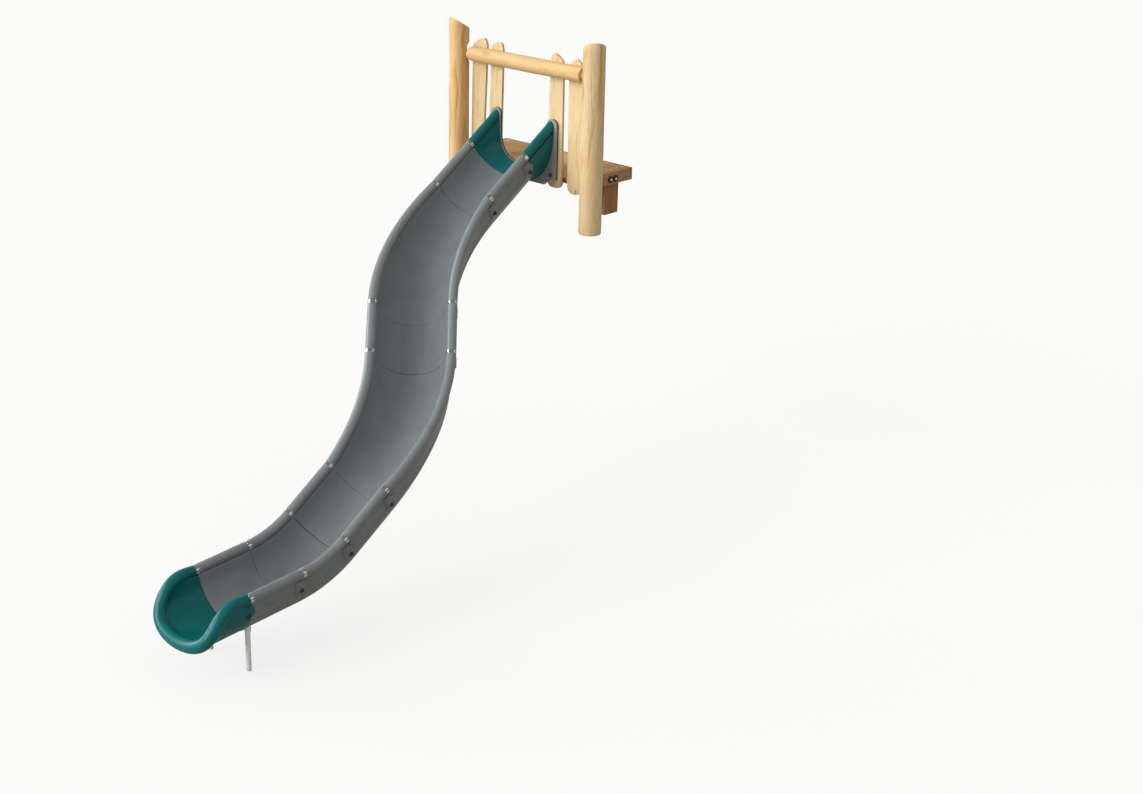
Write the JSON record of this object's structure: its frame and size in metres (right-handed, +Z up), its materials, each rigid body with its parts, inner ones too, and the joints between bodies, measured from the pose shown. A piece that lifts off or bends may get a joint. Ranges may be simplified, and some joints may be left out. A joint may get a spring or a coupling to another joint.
{
  "type": "embankment slide",
  "caption": "S-shaped playground slide of bolted moulded chute sections, hung from a timber start platform with posts, guard bar and boards, with a scoop exit on tube legs.",
  "frame": {"origin": "centre of the whole object's box in plan, at the level of the two tube legs' feet, the lowest point", "axes": "+Z up; X along the guard bar, +X to the side that the chute steps towards; the chute runs down from the platform at +Y to the exit at -Y"},
  "size_m": [1.922, 4.3952, 3.4489],
  "materials": {
    "chute_grey": "satin moulded, faint mottling",
    "chute_teal": "smooth moulded, soft gloss",
    "joint_steel": "mirror polished stainless band",
    "zinc_steel": "hot-dip galvanised, dull with fine spangle",
    "post_timber": "planed pale softwood, clear oiled",
    "deck_timber": "grooved orange-brown softwood",
    "shaded_timber": "sawn brown softwood",
    "plate_grey": "satin sheet with a rounded rim",
    "backing_black": "dull black",
    "bolt_cap": "satin black",
    "chrome_nut": "bright plated"
  },
  "bodies": {
    "root": {"straight_1": "chute_grey", "curve_left": "chute_grey", "straight_2": "chute_grey", "curve_right": "chute_grey", "straight_3": "chute_grey", "run_out_bend": "chute_grey", "run_out": "chute_grey", "start_section": "chute_teal", "exit_scoop": "chute_teal", "rail_coupling_1_left": "joint_steel", "rail_coupling_1_right": "joint_steel", "rail_coupling_2_left": "joint_steel", "rail_coupling_2_right": "joint_steel", "rail_coupling_3_left": "joint_steel", "rail_coupling_3_right": "joint_steel", "rail_coupling_4_left": "joint_steel", "rail_coupling_4_right": "joint_steel", "rail_coupling_5_left": "joint_steel", "rail_coupling_5_right": "joint_steel", "rail_coupling_6_left": "joint_steel", "rail_coupling_6_right": "joint_steel", "rail_coupling_7_left": "joint_steel", "rail_coupling_7_right": "joint_steel", "rail_coupling_8_left": "joint_steel", "rail_coupling_8_right": "joint_steel", "leg_left": "zinc_steel", "leg_right": "zinc_steel", "leg_saddle": "zinc_steel", "coach_bolt": "zinc_steel", "post_left": "post_timber", "post_right": "post_timber", "crossbar": "post_timber", "board_1": "post_timber", "board_2": "post_timber", "board_3": "post_timber", "board_4": "post_timber", "deck_plank_1": "deck_timber", "deck_plank_2": "deck_timber", "deck_plank_3": "deck_timber", "deck_plank_4": "deck_timber", "deck_fascia": "deck_timber", "deck_beam_left": "deck_timber", "deck_beam_right": "deck_timber", "deck_front_beam": "shaded_timber", "deck_rear_beam": "shaded_timber", "rear_post_left": "shaded_timber", "rear_post_right": "shaded_timber", "start_plate": "plate_grey", "plate_backing": "backing_black", "lug_bolt_1": "bolt_cap", "lug_bolt_2": "bolt_cap", "lug_bolt_3": "bolt_cap", "lug_bolt_4": "bolt_cap", "lug_bolt_5": "bolt_cap", "lug_bolt_6": "bolt_cap", "lug_bolt_7": "bolt_cap", "lug_bolt_8": "bolt_cap", "plate_bolt": "bolt_cap", "dome_nut_front": "chrome_nut", "dome_nut_rear": "chrome_nut"}
  },
  "joints": []
}
